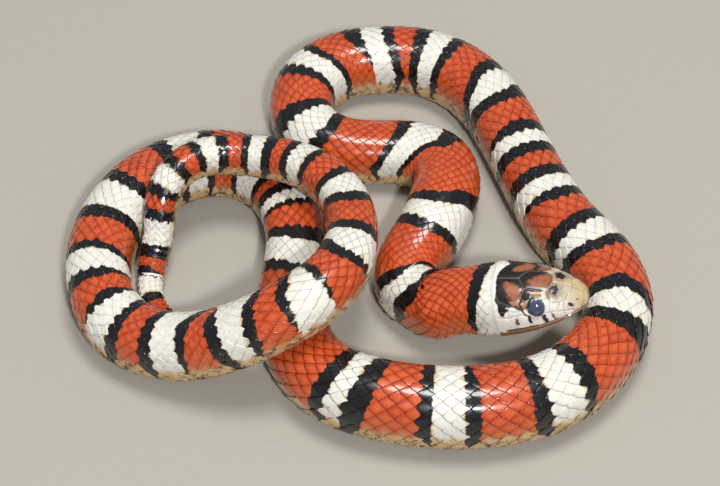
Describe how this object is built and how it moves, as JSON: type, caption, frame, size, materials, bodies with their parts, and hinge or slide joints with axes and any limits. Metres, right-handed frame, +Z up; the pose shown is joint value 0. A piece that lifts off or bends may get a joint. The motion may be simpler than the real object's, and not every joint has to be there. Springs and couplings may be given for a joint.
{
  "type": "milk snake",
  "caption": "Life-size milk snake at rest in loose overlapping coils, head lifted over its own flank, banded in red, black and cream; a still display model.",
  "frame": {"origin": "on the floor under the middle of the coils", "axes": "+Z up; +X to the side the snout points to; -Y towards the side the picture was taken from"},
  "size_m": [0.1186, 0.1094, 0.0271],
  "materials": {
    "scales_red": "smooth, dry, glossy scales in rings of orange red, near black and cream; the belly is cream with grey marks",
    "head_plates": "smooth glossy plates, cream with a brown-red crown edged in black",
    "eye": "clear and wet-looking, near black with a faint pale ring"
  },
  "bodies": {
    "root": {"head": "head_plates", "eye_left": "eye", "eye_right": "eye", "neck": "scales_red", "body_01": "scales_red", "body_02": "scales_red", "body_03": "scales_red", "body_04": "scales_red", "body_05": "scales_red", "body_06": "scales_red", "body_07": "scales_red", "body_08": "scales_red", "body_09": "scales_red", "body_10": "scales_red", "body_11": "scales_red", "body_12": "scales_red", "body_13": "scales_red", "body_14": "scales_red", "body_15": "scales_red", "body_16": "scales_red", "tail_base": "scales_red", "tail_middle": "scales_red", "tail_tip": "scales_red"}
  },
  "joints": []
}
